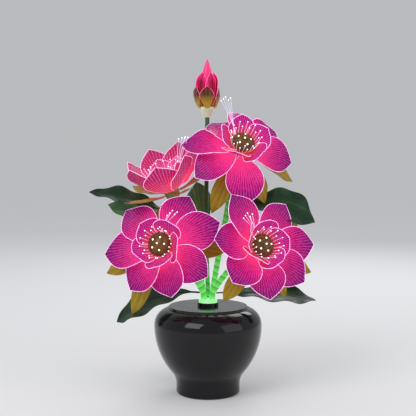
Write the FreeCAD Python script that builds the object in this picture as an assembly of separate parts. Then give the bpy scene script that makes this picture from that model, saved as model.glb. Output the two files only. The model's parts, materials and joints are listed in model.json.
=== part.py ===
import FreeCAD, Part

import math
import os
from FreeCAD import Vector

# Lotus lamp: a glossy vase holds a light engine, and a bouquet of light-fibre flowers plugs into its lid.
# Millimetres, Z up, origin at the middle of the vase's foot, -Y is the front.

# Vase, felt pad and lid
felt_radius = 40.0
felt_thickness = 2.0
foot_radius = 42.0
foot_fillet = 25.0
belly_radius = 71.0
belly_height = 90.0
belly_curve = 95.0
rim_radius = 53.0
rim_height = 112.0
mouth_radius = 49.5
vase_wall = 4.0
vase_floor = 5.0
lid_thickness = 3.0
lid_inset = 0.6
lid_edge = 1.0
skirt_depth = 6.0
skirt_wall = 2.4
fit_gap = 0.3
running_gap = 0.05
cut_reach = 40.0

# Socket in the lid and ferrule of the bouquet
ferrule_radius = 11.0
ferrule_wall = 2.0
ferrule_reach = 2.5
ferrule_flange = 12.2
flange_thickness = 5.0
socket_wall = 2.8
socket_depth = 21.0
socket_rise = 4.5

# Chassis that hangs from the lid
chassis_radius = 47.0
chassis_thickness = 1.5
standoff_circle = 41.0
standoff_radius = 3.2
standoff_angles = (60.0, 120.0, 240.0, 300.0)
screw_radius = 1.5
screw_head_radius = 2.8
screw_head_height = 2.0
screw_depth = 7.0
stud_length = 2.0

# Motor with an offset shaft, and the colour wheel on it
motor_radius = 14.0
motor_boss = 1.0
shaft_offset = 8.0
wheel_axis_x = -19.0
ear_spacing = 35.0
ear_radius = 3.6
ear_thickness = 1.0
motor_screw_end = 1.5
shaft_radius = 2.5
shaft_depth = 12.0
shaft_gap = 0.03
shaft_end_gap = 0.5
press_gap = 0.02
hub_radius = 4.5
hub_drop = 2.5
hub_gap = 1.0
hub_height = 6.5
wheel_radius = 30.0
wheel_rim = 2.0
wheel_gap = 3.5
wheel_thickness = 1.6
hub_flange_radius = 8.5
spoke_width = 1.6
spoke_count = 4
film_thickness = 0.4

# Lamp engine on the chassis, below the ferrule
lamp_gap = 3.9
sink_radius = 12.0
sink_height = 6.5
fin_radius = 10.6
fin_core_radius = 5.5
fin_length = 18.0
fin_thickness = 1.2
fin_count = 12
led_board_radius = 10.0
led_board_thickness = 1.6
led_radius = 3.0
led_height = 1.6
holder_radius = 11.0
holder_wall = 1.0
holder_height = 11.5
holder_floor = 1.8
led_gap = 1.2
lens_seat = 2.0
lens_bottom = 2.4
lens_foot_radius = 3.3
lens_dome = 1.0
lens_drop = 0.4
lens_edge = 1.4

# Driver board: its capacitor as x, y, radius and height, its blocks as corner x, y and three sizes
board_length = 26.0
board_width = 34.0
board_thickness = 1.6
board_middle_x = 29.0
spacer_height = 4.0
spacer_radius = 2.2
capacitor = (34.0, 7.0, 4.0, 9.0)
regulator = (20.0, 2.0, 8.0, 6.0, 3.0)
header = (23.0, -13.0, 12.0, 5.0, 6.0)

# Rear lead grommet and push switch
grommet_angle = 30.0
grommet_hole = 4.5
grommet_flange = 7.5
grommet_lip = 1.6
grommet_bore = 2.6
spot_depth = 1.2
switch_height = 84.0
bushing_radius = 6.0
bushing_length = 8.6
nut_radius = 8.6
nut_thickness = 2.2
nut_room = 1.2
switch_box = 15.0
switch_box_depth = 10.0
switch_box_edge = 1.0
switch_recess = 0.75
seat_depth = 1.0
cap_radius = 4.4
cap_proud = 4.2
cap_edge = 0.6
cap_sink = 3.0
press_travel = 2.0

# Stems: where each leaves the ferrule, the points between, and how far it runs straight into its flower
stem_radius = 3.8
bud_stem_radius = 2.9
stem_circle = 6.9
stem_lead = 27.0
stem_rise = 8.0
stem_routes = {
    "top_flower": (30.0, ((12.0, 12.0, 168.0), (27.0, 31.0, 243.0))),
    "left_flower": (218.0, ((-16.0, -2.0, 150.0),)),
    "right_flower": (322.0, ((16.0, -1.0, 148.0),)),
    "side_flower": (150.0, ((-13.0, 12.0, 168.0),)),
    "bud": (90.0, ((-3.0, 26.0, 205.0), (-2.0, 38.0, 282.0))),
}

# Flower parts, measured along the flower's own axis from the ring of its outer petals
calyx_bottom = -20.0
calyx_radius = 10.2
calyx_foot_radius = 5.6
calyx_band = 4.0
calyx_top = -1.0
neck_radius = 4.8
neck_top = 13.0
stem_socket = 6.0
pod_radius = 15.5
pod_bottom = 11.0
pod_foot_radius = 6.4
pod_edge = 17.5
pod_top = 27.5
seed_count = 5
seed_circle = 8.5
seed_radius = 1.5
seed_depth = 0.8
seed_length = 1.9
petal_thickness = 1.2
petal_cup = 0.2
petal_rows = (0.0, 0.1, 0.24, 0.4, 0.58, 0.75, 0.89, 1.0)
full_roll_share = 0.3
widest_share = 0.58
tip_width = 1.2
outer_start = (7.4, -0.3)
outer_length = 66.0
outer_width = 49.0
outer_base_width = 4.4
outer_roll = 11.0
inner_start = (5.4, 3.8)
inner_length = 42.0
inner_width = 38.0
inner_base_width = 5.2
inner_roll = 12.0
sepal_start = (10.6, -3.4)
sepal_length = 70.0
sepal_width = 25.0
sepal_base_width = 5.4
stamen_count = 12
stamen_radius = 0.5
stamen_bead = 1.0
stamen_bead_length = 2.4
stamen_path = ((5.3, 8.6), (13.0, 13.4), (17.4, 19.5), (20.0, 35.0))

# Bud, measured up from the bottom of its cup
bud_place = (-1.0, 30.0, 363.5)
bud_turn = 0.0
bud_rise = 88.0
bud_cup_height = 14.0
bud_cup_radius = 10.5
bud_cup_foot = 4.6
bud_cup_lip = 3.0
bud_core_foot = 3.6
bud_core_radius = 8.4
bud_core_height = 64.0
bud_core_tip = 0.5
bud_lead = 30.0
bud_petal_start = (6.0, 14.6)
bud_petal_open = (58.0, 116.0)
bud_petal_length = 47.0
bud_petal_width = 18.5
bud_petal_count = 5
bud_petal_roll = 14.0
bud_petal_cup = 0.42
bud_sepal_start = (11.4, 12.0)
bud_sepal_open = (54.0, 112.0)
bud_sepal_length = 30.0
bud_sepal_width = 19.0
bud_sepal_count = 5
bud_sepal_roll = 9.0
bud_sepal_cup = 0.35
bud_base_width = 6.0

# Leaves: stem or ferrule end that carries each, share of its route, tip, way the face looks, width,
# rise of the blade above the straight line from base to tip, and waves along its edges
leaves = {
    "left_high_leaf": ("side_flower", 0.80, (-158.0, 16.0, 264.0), (0.1, -0.55, 0.85), 34.0, 10.0, 3),
    "left_back_leaf": ("side_flower", 0.60, (-136.0, 42.0, 246.0), (-0.1, -0.6, 0.8), 36.0, 8.0, 2),
    "right_high_leaf": ("top_flower", 0.62, (142.0, 14.0, 224.0), (0.2, -0.8, 0.6), 52.0, 24.0, 3),
    "left_low_leaf": ("left_flower", 0.10, (-122.0, 14.0, 90.0), (-0.15, -0.5, 0.85), 58.0, 17.0, 3),
    "right_low_leaf": ("right_flower", 0.10, (142.0, -2.0, 122.0), (0.1, -0.4, 0.9), 44.0, 5.0, 3),
    "middle_back_leaf": ("bud", 0.34, (-16.0, 68.0, 276.0), (-0.1, -0.95, 0.3), 34.0, 3.0, 2),
}
leaf_thickness = 1.0
leaf_stalk_width = 3.0
stalk_gap = 0.8
leaf_wave = 2.5
leaf_cup = 0.16
leaf_rows = (0.0, 0.08, 0.18, 0.32, 0.46, 0.6, 0.74, 0.87, 1.0)
stalk_share = 0.1
full_wave_width = 10.0
wave_shift = 1.9

# Flowers: middle of the petal ring, turn to the right, rise of the axis, opening of the petals in
# degrees from start to tip, and each outer petal's angle round the ring, lift and stretch
flowers = {
    "top_flower": dict(
        middle=(42.0, 0.0, 319.0), turn=14.0, rise=36.0,
        outer_open=(14.0, -32.0), inner_open=(26.0, 70.0), sepal_open=(-14.0, -44.0),
        petals=((34, 0, 1.0), (76, 0, 1.0), (119, 0, 0.82), (167, 0, 1.08), (209, -1, 1.02),
                (268, -3, 1.08), (350, 0, 1.02)),
        inner=(90, 162, 234, 306, 18), sepals=((-14, 1.2), (52, 1.0), (155, 0.8), (240, 1.15), (298, 0.95))),
    "left_flower": dict(
        middle=(-56.0, -31.0, 197.0), turn=-17.0, rise=13.0,
        outer_open=(22.0, -14.0), inner_open=(34.0, 70.0), sepal_open=(-6.0, -28.0),
        petals=((23, 0, 1.12), (64, 0, 0.98), (141, 0, 0.97), (190, 0, 1.12), (236, 0, 0.98),
                (284, 0, 0.92), (329, 0, 1.0)),
        inner=(62, 134, 206, 278, 350), sepals=((0, 1.0), (100, 0.75), (150, 0.9), (202, 1.28), (241, 1.35))),
    "right_flower": dict(
        middle=(62.0, -32.0, 194.0), turn=25.0, rise=18.0,
        outer_open=(30.0, 4.0), inner_open=(35.0, 77.0), sepal_open=(0.0, -24.0),
        petals=((-2, 0, 1.05), (51, 0, 0.95), (118, 0, 1.08), (170, 0, 0.95), (222, 0, 0.95),
                (269, 0, 0.98), (315, 0, 1.02)),
        inner=(80, 152, 224, 296, 8), sepals=((-20, 1.22), (27, 1.18), (90, 1.0), (232, 1.0), (304, 0.95))),
    "side_flower": dict(
        middle=(-49.0, 14.0, 267.0), turn=-45.0, rise=66.0,
        outer_open=(26.0, 76.0), inner_open=(28.0, 94.0), sepal_open=(6.0, 30.0),
        petals=((0, 0, 1.0), (51, 0, 1.0), (103, 0, 1.0), (154, 0, 1.0), (206, 0, 1.0),
                (257, 0, 1.0), (309, 0, 1.0)),
        inner=(80, 152, 224, 296, 8), sepals=((52, 1.0), (124, 1.0), (196, 0.72), (268, 1.0), (340, 0.8))),
}

# Heights that follow from the sizes above
lid_bottom = rim_height
lid_top = lid_bottom + lid_thickness
socket_top = lid_top + socket_rise
stem_start = socket_top + flange_thickness
socket_bottom = lid_bottom - socket_depth
ferrule_bottom = socket_bottom - ferrule_reach
wheel_height = ferrule_bottom - wheel_gap - film_thickness - wheel_thickness
hub_bottom = wheel_height - hub_drop
chassis_top = wheel_height - lamp_gap - holder_height - led_board_thickness - sink_height
chassis_height = chassis_top - chassis_thickness
motor_height = hub_bottom - hub_gap - motor_boss - chassis_top
belly_x = belly_radius - belly_curve
wall_inner = belly_curve - vase_wall


def save(name, solids):
    """Write one sub-part, a single solid or a group of separate solids."""
    solids = solids if isinstance(solids, list) else [solids]
    for solid in solids:
        if not solid.isValid() or solid.Volume <= 0:
            raise ValueError(name + " is not a sound solid")
    shape = solids[0] if len(solids) == 1 else Part.makeCompound(solids)
    shape.exportStep("parts/" + name + ".step")


def spun(points, arcs=None):
    """Solid of revolution about Z from (radius, height) corners; arcs maps a corner to a point midway."""
    arcs = arcs or {}
    edges = []
    for index, start in enumerate(points):
        end = points[(index + 1) % len(points)]
        a, b = Vector(start[0], 0, start[1]), Vector(end[0], 0, end[1])
        if index in arcs:
            mid = Vector(arcs[index][0], 0, arcs[index][1])
            edges.append(Part.Arc(a, mid, b).toShape())
        else:
            edges.append(Part.LineSegment(a, b).toShape())
    return Part.Face(Part.Wire(edges)).revolve(Vector(), Vector(0, 0, 1), 360)


def disc(radius, bottom, height, x=0.0, y=0.0):
    return Part.makeCylinder(radius, height, Vector(x, y, bottom))


def ring(outer, inner, bottom, height, x=0.0, y=0.0):
    return disc(outer, bottom, height, x, y).cut(disc(inner, bottom - 1, height + 2, x, y))


def polar(radius, angle, height=0.0):
    turn = math.radians(angle)
    return Vector(radius * math.cos(turn), radius * math.sin(turn), height)


def along(start, direction, radius, length):
    return Part.makeCylinder(radius, length, start, direction)


def facet_solid(points, facets):
    """Closed solid from flat facets over shared points."""
    faces = [Part.Face(Part.makePolygon([points[a], points[b], points[c], points[a]]))
             for a, b, c in facets]
    shell = Part.makeShell(faces)
    shell.sewShape()
    solid = Part.Solid(shell.Shells[0] if shell.Shells else shell)
    if solid.Volume < 0:
        solid.reverse()
    return solid


def blade(rows, thickness):
    """Leaf-like solid, thickest along its middle line and closed to an edge all round.

    Each row holds its middle point, side direction, normal, half width, rise of both edges and
    the extra rise of each edge that makes it wavy.
    """
    places = (-1.0, -0.5, 0.0, 0.5, 1.0)
    points = []
    upper, lower = [], []
    for number, (middle, side, normal, half, rise, wave) in enumerate(rows):
        at_end = number in (0, len(rows) - 1)
        top_ids, low_ids = [], []
        for place in places:
            lift = rise + (wave[0] if place < 0 else wave[1])
            point = middle + side * (half * place) + normal * (lift * place * place)
            swell = 0.0 if at_end else thickness / 2 * (1 - place * place)
            top_ids.append(len(points))
            points.append(point + normal * swell)
            if swell:
                low_ids.append(len(points))
                points.append(point - normal * swell)
            else:
                low_ids.append(top_ids[-1])
        upper.append(top_ids)
        lower.append(low_ids)
    facets = []
    for skin, turned in ((upper, False), (lower, True)):
        for number, (first, second) in enumerate(zip(skin, skin[1:])):
            at_tip = number == len(skin) - 2
            for j in range(len(places) - 1):
                a, b, c, d = first[j], first[j + 1], second[j + 1], second[j]
                pair = ((a, b, c), (a, c, d)) if (j < 2) != at_tip else ((a, b, d), (b, c, d))
                facets += [(p, r, q) if turned else (p, q, r) for p, q, r in pair]
    return facet_solid(points, facets)


def outline(share, base_width, full_width):
    """Width at a share of the length: a swelling base and a rounded, pointed tip."""
    if share < widest_share:
        swell = math.sin(math.pi / 2 * share / widest_share) ** 1.15
        return base_width + (full_width - base_width) * swell
    fall = ((share - widest_share) / (1 - widest_share)) ** 2.2
    return max(full_width * (1 - fall), tip_width)


def petal(frame, angle, start, opening, length, width, base_width, roll, cup):
    """One petal of a ring: its middle line bends evenly from the first to the last opening angle."""
    origin, axis, right, up = frame
    turn = math.radians(angle)
    outward = right * math.cos(turn) + up * math.sin(turn)
    around = axis.cross(outward)
    first, last = (math.radians(value) for value in opening)
    rows = []
    steps = 40
    radius, height, done = start[0], start[1], 0.0
    for share in petal_rows:
        while done < share - 1e-9:
            step = min(1.0 / steps, share - done)
            slope = first + (last - first) * (done + step / 2)
            radius += math.cos(slope) * length * step
            height += math.sin(slope) * length * step
            done += step
        slope = first + (last - first) * share
        middle = origin + outward * radius + axis * height
        normal = axis * math.cos(slope) - outward * math.sin(slope)
        lean = math.radians(roll * min(1.0, share / full_roll_share))
        side = around * math.cos(lean) + normal * math.sin(lean)
        normal = normal * math.cos(lean) - around * math.sin(lean)
        half = outline(share, base_width, width) / 2
        rise = cup * half * math.sin(math.pi * min(1.0, share * 1.1 + 0.05))
        rows.append((middle, side, normal, half, rise, (0.0, 0.0)))
    return blade(rows, petal_thickness)


def flower_frame(middle, turn, rise):
    """Origin, axis, right and up directions of a flower that faces the front."""
    yaw, pitch = math.radians(turn), math.radians(rise)
    axis = Vector(math.sin(yaw) * math.cos(pitch), -math.cos(yaw) * math.cos(pitch), math.sin(pitch))
    right = Vector(0, 0, 1).cross(axis)
    right.normalize()
    return Vector(*middle), axis, right, axis.cross(right)


def placed(solid, frame):
    """Move a solid made along Z onto a flower's axis."""
    origin, axis, right, up = frame
    matrix = FreeCAD.Matrix(right.x, up.x, axis.x, origin.x, right.y, up.y, axis.y, origin.y,
                            right.z, up.z, axis.z, origin.z, 0, 0, 0, 1)
    copy = solid.copy()
    copy.transformShape(matrix)
    return copy


def strand(points, radius, bead_radius, bead_length):
    """Thin square fibre through the points, with a longer bead at its tip."""
    start, end = points[0], points[-1]
    direction = (end - points[-2]).normalize()
    stations = [(point, radius) for point in points]
    stations += [(end + direction * (bead_length * 0.5), bead_radius),
                 (end + direction * bead_length, radius * 0.6)]
    side = Vector(0, 0, 1).cross(end - start)
    side.normalize()
    corners, facets = [], []
    for index, (point, size) in enumerate(stations):
        ahead = stations[min(index + 1, len(stations) - 1)][0] - stations[max(index - 1, 0)][0]
        ahead.normalize()
        other = ahead.cross(side).normalize()
        flat = other.cross(ahead)
        corners += [point + flat * (size * a) + other * (size * b)
                    for a, b in ((1, 0), (0, 1), (-1, 0), (0, -1))]
    for row in range(len(stations) - 1):
        for j in range(4):
            a, b = 4 * row + j, 4 * row + (j + 1) % 4
            facets += [(a, b, b + 4), (a, b + 4, a + 4)]
    last = 4 * (len(stations) - 1)
    facets += [(0, 2, 1), (0, 3, 2), (last, last + 1, last + 2), (last, last + 2, last + 3)]
    return facet_solid(corners, facets)


def stem_line(points):
    """Straight runs joined by tangent arcs, each as large as its two runs allow."""
    edges = []
    here = points[0]
    for before, corner, after in zip(points, points[1:], points[2:]):
        inward, outward = (corner - before), (after - corner)
        reach = 0.45 * min(inward.Length, outward.Length)
        inward.normalize()
        outward.normalize()
        first, last = corner - inward * reach, corner + outward * reach
        half_turn = inward.getAngle(outward) / 2
        radius = reach / math.tan(half_turn)
        toward = (outward - inward).normalize()
        middle = corner + toward * (radius / math.cos(half_turn) - radius)
        edges += [Part.LineSegment(here, first).toShape(), Part.Arc(first, middle, last).toShape()]
        here = last
    edges.append(Part.LineSegment(here, points[-1]).toShape())
    return Part.Wire(edges)


def tube(points, radius):
    line = stem_line(points)
    circle = Part.Wire(Part.Circle(points[0], points[1] - points[0], radius).toShape())
    return line.makePipeShell([circle], True, False)


def vase():
    """Spun shell: foot ring, hollow fillet, belly, shoulder, and the same curves inside."""
    fillet_x = foot_radius + foot_fillet
    joined = belly_curve + foot_fillet
    fillet_z = belly_height - math.sqrt(joined ** 2 - (fillet_x - belly_x) ** 2)
    meet = belly_curve / joined
    meet_x = belly_x + (fillet_x - belly_x) * meet
    meet_z = belly_height + (fillet_z - belly_height) * meet
    drop = math.atan2(belly_height - meet_z, meet_x - belly_x)
    fillet_mid = math.pi - drop / 2
    outer_mid = (belly_x + belly_curve * math.cos(drop / 2),
                 belly_height - belly_curve * math.sin(drop / 2))
    rise = rim_height - belly_height
    run = belly_radius - rim_radius
    shoulder = (run ** 2 + rise ** 2) / (2 * run)
    shoulder_x = belly_radius - shoulder
    sweep = math.asin(rise / shoulder)
    shoulder_mid = (shoulder_x + shoulder * math.cos(sweep / 2),
                    belly_height + shoulder * math.sin(sweep / 2))
    thin = shoulder - vase_wall
    top_angle = math.acos(min(1.0, max(-1.0, (mouth_radius - shoulder_x) / thin)))
    neck_z = belly_height + thin * math.sin(top_angle)
    thin_mid = (shoulder_x + thin * math.cos(top_angle / 2),
                belly_height + thin * math.sin(top_angle / 2))
    low_angle = drop * 0.9
    low = (belly_x + wall_inner * math.cos(low_angle), belly_height - wall_inner * math.sin(low_angle))
    low_mid = (belly_x + wall_inner * math.cos(low_angle / 2),
               belly_height - wall_inner * math.sin(low_angle / 2))
    floor = felt_thickness + vase_floor
    points = [(0, felt_thickness), (foot_radius, felt_thickness), (foot_radius, fillet_z),
              (meet_x, meet_z), (belly_radius, belly_height), (rim_radius, rim_height),
              (mouth_radius, rim_height), (mouth_radius, neck_z),
              (belly_radius - vase_wall, belly_height), low, (foot_radius - vase_wall, floor),
              (0, floor)]
    arcs = {2: (fillet_x + foot_fillet * math.cos(fillet_mid),
                fillet_z + foot_fillet * math.sin(fillet_mid)),
            3: outer_mid, 4: shoulder_mid, 7: thin_mid, 8: low_mid}
    shell = spun(points, arcs)
    seat, outward = grommet_seat()
    shell = shell.cut(along(seat - outward * cut_reach / 2, outward, grommet_hole + running_gap, cut_reach))
    shell = shell.cut(along(seat, outward, grommet_flange + fit_gap, cut_reach))
    inner, outer = switch_walls()
    axis = Vector(0, 1, 0)
    middle = Vector(0, 0, switch_height)
    shell = shell.cut(along(middle + axis * (inner - seat_depth), axis, bushing_radius + running_gap,
                            cut_reach))
    shell = shell.cut(along(middle + axis * outer, axis, nut_radius + nut_room, cut_reach))
    return shell.cut(along(middle + axis * (inner - cut_reach / 2), axis, switch_box * switch_recess,
                           cut_reach / 2))


def grommet_seat():
    """Flat seat for the grommet, square to the lower belly at the back."""
    tilt = math.radians(grommet_angle)
    outward = Vector(0, math.cos(tilt), -math.sin(tilt))
    centre = Vector(0, belly_x, belly_height)
    return centre + outward * (belly_curve - spot_depth), outward


def switch_walls():
    """Inner and outer seat of the switch, as distances from the vase's axis."""
    level = math.sqrt(belly_curve ** 2 - (belly_height - switch_height) ** 2) + belly_x
    return level - vase_wall + seat_depth, level - spot_depth


def lid():
    plate_radius = rim_radius - lid_inset
    bore = ferrule_radius + running_gap
    points = [(bore, socket_bottom), (bore + socket_wall, socket_bottom),
              (bore + socket_wall, lid_bottom), (mouth_radius - fit_gap - skirt_wall, lid_bottom),
              (mouth_radius - fit_gap - skirt_wall, lid_bottom - skirt_depth),
              (mouth_radius - fit_gap, lid_bottom - skirt_depth), (mouth_radius - fit_gap, lid_bottom),
              (plate_radius, lid_bottom), (plate_radius, lid_top - lid_edge),
              (plate_radius - lid_edge, lid_top),
              (bore + socket_wall, lid_top), (bore + socket_wall, socket_top), (bore, socket_top)]
    body = spun(points)
    for angle in standoff_angles:
        place = polar(standoff_circle, angle)
        body = body.cut(disc(screw_radius + running_gap, lid_bottom - 1, stud_length + 1.1,
                             place.x, place.y))
    return body


def standoffs():
    pieces = []
    for angle in standoff_angles:
        place = polar(standoff_circle, angle)
        pillar = disc(standoff_radius, chassis_top, lid_bottom - chassis_top, place.x, place.y)
        pillar = pillar.fuse(disc(screw_radius, lid_bottom - 1, stud_length + 1, place.x, place.y))
        pieces.append(pillar.cut(disc(screw_radius + running_gap, chassis_top - 1, screw_depth + 2,
                                      place.x, place.y)))
    return pieces


def screw(x, y, head_top, length):
    """Pan screw that points up, its head below the seat."""
    head = disc(screw_head_radius, head_top - screw_head_height, screw_head_height, x, y)
    return head.fuse(disc(screw_radius, head_top - 0.1, length + 0.1, x, y))


def ear_places():
    x = wheel_axis_x - shaft_offset
    return [(x, ear_spacing / 2), (x, -ear_spacing / 2)]


def board_corners():
    across, deep = board_length / 2 - spacer_radius, board_width / 2 - spacer_radius
    return [(board_middle_x + i * across, j * deep) for i in (-1, 1) for j in (-1, 1)]


def chassis_plate():
    plate = disc(chassis_radius, chassis_height, chassis_thickness)
    cut = disc(fin_radius + fit_gap, chassis_height - 1, chassis_thickness + 2)
    for angle in standoff_angles:
        place = polar(standoff_circle, angle)
        cut = cut.fuse(disc(screw_radius + running_gap, chassis_height - 1, chassis_thickness + 2,
                            place.x, place.y))
    for x, y in ear_places():
        cut = cut.fuse(disc(screw_radius + running_gap, chassis_height - 1, chassis_thickness + 2, x, y))
    return plate.cut(cut)


def motor():
    x = wheel_axis_x - shaft_offset
    can = disc(motor_radius, chassis_top, motor_height, x)
    ears = disc(ear_radius, chassis_top, ear_thickness, x, ear_spacing / 2)
    ears = ears.fuse(disc(ear_radius, chassis_top, ear_thickness, x, -ear_spacing / 2))
    ears = ears.fuse(Part.makeBox(2 * ear_radius, ear_spacing, ear_thickness,
                                  Vector(x - ear_radius, -ear_spacing / 2, chassis_top)))
    boss = disc(hub_radius, chassis_top + motor_height, motor_boss, wheel_axis_x)
    body = can.fuse(ears).fuse(boss)
    for place in ear_places():
        body = body.cut(disc(screw_radius + running_gap, chassis_top - 1, 4, *place))
    top = chassis_top + motor_height
    return body.cut(disc(shaft_radius + shaft_gap, top - shaft_depth - shaft_end_gap, 2 * shaft_depth,
                         wheel_axis_x))


def wheel_hub():
    """Hub, flange, spokes and rim that carry the colour film."""
    hub = disc(hub_radius, hub_bottom, hub_height, wheel_axis_x)
    hub = hub.fuse(disc(hub_flange_radius, wheel_height, wheel_thickness, wheel_axis_x))
    hub = hub.fuse(ring(wheel_radius, wheel_radius - wheel_rim, wheel_height, wheel_thickness,
                        wheel_axis_x))
    centre = Vector(wheel_axis_x, 0, 0)
    for number in range(spoke_count):
        spoke = Part.makeBox(wheel_radius - wheel_rim / 2, spoke_width, wheel_thickness,
                             Vector(wheel_axis_x, -spoke_width / 2, wheel_height))
        spoke.rotate(centre, Vector(0, 0, 1), 45 + 360 * number / spoke_count)
        hub = hub.fuse(spoke)
    bore = disc(shaft_radius + press_gap, hub_bottom - 1, hub_height + 2, wheel_axis_x)
    return hub.cut(bore).removeSplitter()


def heat_sink():
    """Flange that lies on the chassis, core, and fins that hang through the plate."""
    body = disc(sink_radius, chassis_top, sink_height)
    body = body.fuse(disc(fin_core_radius, chassis_top - fin_length, fin_length))
    for number in range(fin_count):
        fin = Part.makeBox(fin_radius, fin_thickness, fin_length,
                           Vector(0, -fin_thickness / 2, chassis_top - fin_length))
        fin.rotate(Vector(), Vector(0, 0, 1), 360 * number / fin_count)
        body = body.fuse(fin)
    return body.removeSplitter()


def driver_board():
    """Board on four spacers, with a capacitor, a regulator and a plug header."""
    level = chassis_top + spacer_height
    low = Vector(board_middle_x - board_length / 2, -board_width / 2, level)
    board = Part.makeBox(board_length, board_width, board_thickness, low)
    for x, y in board_corners():
        board = board.fuse(disc(spacer_radius, chassis_top, spacer_height, x, y))
    top = level + board_thickness
    x, y, radius, height = capacitor
    board = board.fuse(disc(radius, top, height, x, y))
    for x, y, length, width, height in (regulator, header):
        board = board.fuse(Part.makeBox(length, width, height, Vector(x, y, top)))
    return board


def switch_parts():
    inner, outer = switch_walls()
    axis = Vector(0, 1, 0)
    middle = Vector(0, 0, switch_height)
    seat = middle + axis * inner
    half = switch_box / 2
    body = Part.makeBox(switch_box, switch_box_depth, switch_box,
                        Vector(-half, inner - switch_box_depth, switch_height - half))
    body = body.makeFillet(switch_box_edge, [edge for edge in body.Edges if abs(edge.tangentAt(0).y) > 0.9])
    body = body.fuse(along(seat - axis, axis, bushing_radius, bushing_length + 1))
    bore = cap_radius + running_gap
    deep = bushing_length + cap_sink
    body = body.cut(along(seat + axis * (bushing_length - deep), axis, bore, deep + 1))
    nut = Part.Face(Part.makePolygon([middle + axis * outer + polar_xz(nut_radius, 60 * k)
                                      for k in range(7)])).extrude(axis * nut_thickness)
    nut = nut.cut(along(middle + axis * (outer - nut_thickness), axis, bushing_radius + running_gap,
                        cut_reach))
    cap_end = inner + bushing_length + cap_proud
    cap_length = cap_proud + deep - press_travel - cap_edge
    cap = along(middle + axis * (cap_end - cap_length), axis, cap_radius, cap_length)
    cap = cap.makeChamfer(cap_edge, [max(cap.Edges, key=lambda edge: edge.BoundBox.YMin)])
    return body, nut, cap


def polar_xz(radius, angle):
    flat = polar(radius, angle)
    return Vector(flat.x, 0, flat.y)


def grommet():
    seat, outward = grommet_seat()
    body = along(seat, outward, grommet_flange, grommet_lip)
    body = body.fuse(along(seat - outward * (vase_wall + 1), outward, grommet_hole, vase_wall + 2))
    return body.cut(along(seat - outward * cut_reach / 2, outward, grommet_bore, cut_reach))


def stem_points(name, frame, base, lead):
    """Route from the ferrule through the chosen points and straight into the flower's socket."""
    angle, between = stem_routes[name]
    origin, axis = frame[0], frame[1]
    points = [polar(stem_circle, angle, stem_start), polar(stem_circle, angle, stem_start + stem_rise)]
    points += [Vector(*point) for point in between]
    points.append(origin + axis * (base - lead))
    points.append(origin + axis * (base + stem_socket))
    return points


def leaf(carrier, spot, tip, facing, width, bulge, waves):
    """Wavy blade on a short stalk, springing from the side of a stem."""
    points, radius = carriers[carrier]
    tip, facing = Vector(*tip), Vector(*facing)
    spine = stem_line(points).discretize(101)
    index = int(round(spot * 100))
    place = spine[index]
    tangent = (spine[index + 1] - spine[index - 1]).normalize()
    away = tip - place
    away = (away - tangent * away.dot(tangent)).normalize()
    start = place + away * (radius + stalk_gap)
    rows = []
    run = tip - start
    for share in leaf_rows:
        arch = 4 * bulge * share * (1 - share)
        middle = start + run * share + facing * arch
        slope = (run + facing * (4 * bulge * (1 - 2 * share))).normalize()
        side = slope.cross(facing).normalize()
        normal = side.cross(slope)
        if normal.dot(facing) < 0:
            normal, side = -normal, -side
        body_share = max(0.0, (share - stalk_share) / (1 - stalk_share))
        half = outline(body_share, leaf_stalk_width, width) / 2
        phase = 2 * math.pi * waves * body_share
        swing = leaf_wave * min(1.0, half / full_wave_width)
        wave = (swing * math.sin(phase), swing * math.sin(phase + wave_shift))
        rows.append((middle, side, normal, half, leaf_cup * half, wave))
    return blade(rows, leaf_thickness)


def bloom(name, kind):
    """Calyx, sepals, two rings of petals, pod, and the fibre tips in the pod and round it."""
    frame = flower_frame(kind["middle"], kind["turn"], kind["rise"])
    socket = [(0, calyx_bottom + stem_socket), (stem_radius + running_gap, calyx_bottom + stem_socket),
              (stem_radius + running_gap, calyx_bottom), (calyx_foot_radius, calyx_bottom),
              (calyx_radius, calyx_top - calyx_band), (calyx_radius, calyx_top),
              (neck_radius, calyx_top), (neck_radius, neck_top), (0, neck_top)]
    save(name + "_calyx", placed(spun(socket), frame))
    save(name + "_sepals", [petal(frame, angle, sepal_start, kind["sepal_open"],
                                  sepal_length * stretch, sepal_width, sepal_base_width, 0.0, petal_cup)
                            for angle, stretch in kind["sepals"]])
    low, high = kind["outer_open"]
    save(name + "_outer_petals", [petal(frame, angle, outer_start, (low + lift, high + lift),
                                        outer_length * stretch, outer_width, outer_base_width,
                                        outer_roll, petal_cup)
                                  for angle, lift, stretch in kind["petals"]])
    save(name + "_inner_petals", [petal(frame, angle, inner_start, kind["inner_open"], inner_length,
                                        inner_width, inner_base_width, inner_roll, petal_cup)
                                  for angle in kind["inner"]])
    dome = (pod_radius ** 2 + (pod_top - pod_edge) ** 2) / (2 * (pod_top - pod_edge))
    half = math.asin(pod_radius / dome) / 2
    pod = spun([(0, neck_top + fit_gap), (neck_radius + running_gap, neck_top + fit_gap),
                (neck_radius + running_gap, pod_bottom), (pod_foot_radius, pod_bottom),
                (pod_radius, pod_edge), (0, pod_top)],
               {4: (dome * math.sin(half), pod_top - dome * (1 - math.cos(half)))})
    strands = []
    for radius, angle in [(0.0, 0.0)] + [(seed_circle, 360 * k / seed_count) for k in range(seed_count)]:
        place = polar(radius, angle)
        level = pod_top - dome + math.sqrt(dome ** 2 - (radius + seed_radius) ** 2) - seed_depth
        pod = pod.cut(disc(seed_radius + fit_gap, level, pod_top, place.x, place.y))
        strands.append(placed(disc(seed_radius, level, seed_length, place.x, place.y), frame))
    save(name + "_pod", placed(pod, frame))
    for number in range(stamen_count):
        angle = 360 * (number + 0.5) / stamen_count
        route = [placed_point(polar(radius, angle, height), frame) for radius, height in stamen_path]
        strands.append(strand(route, stamen_radius, stamen_bead, stamen_bead_length))
    save(name + "_stamens", strands)
    carriers[name] = (stem_points(name, frame, calyx_bottom, stem_lead), stem_radius)
    save(name + "_stem", tube(*carriers[name]))


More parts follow.
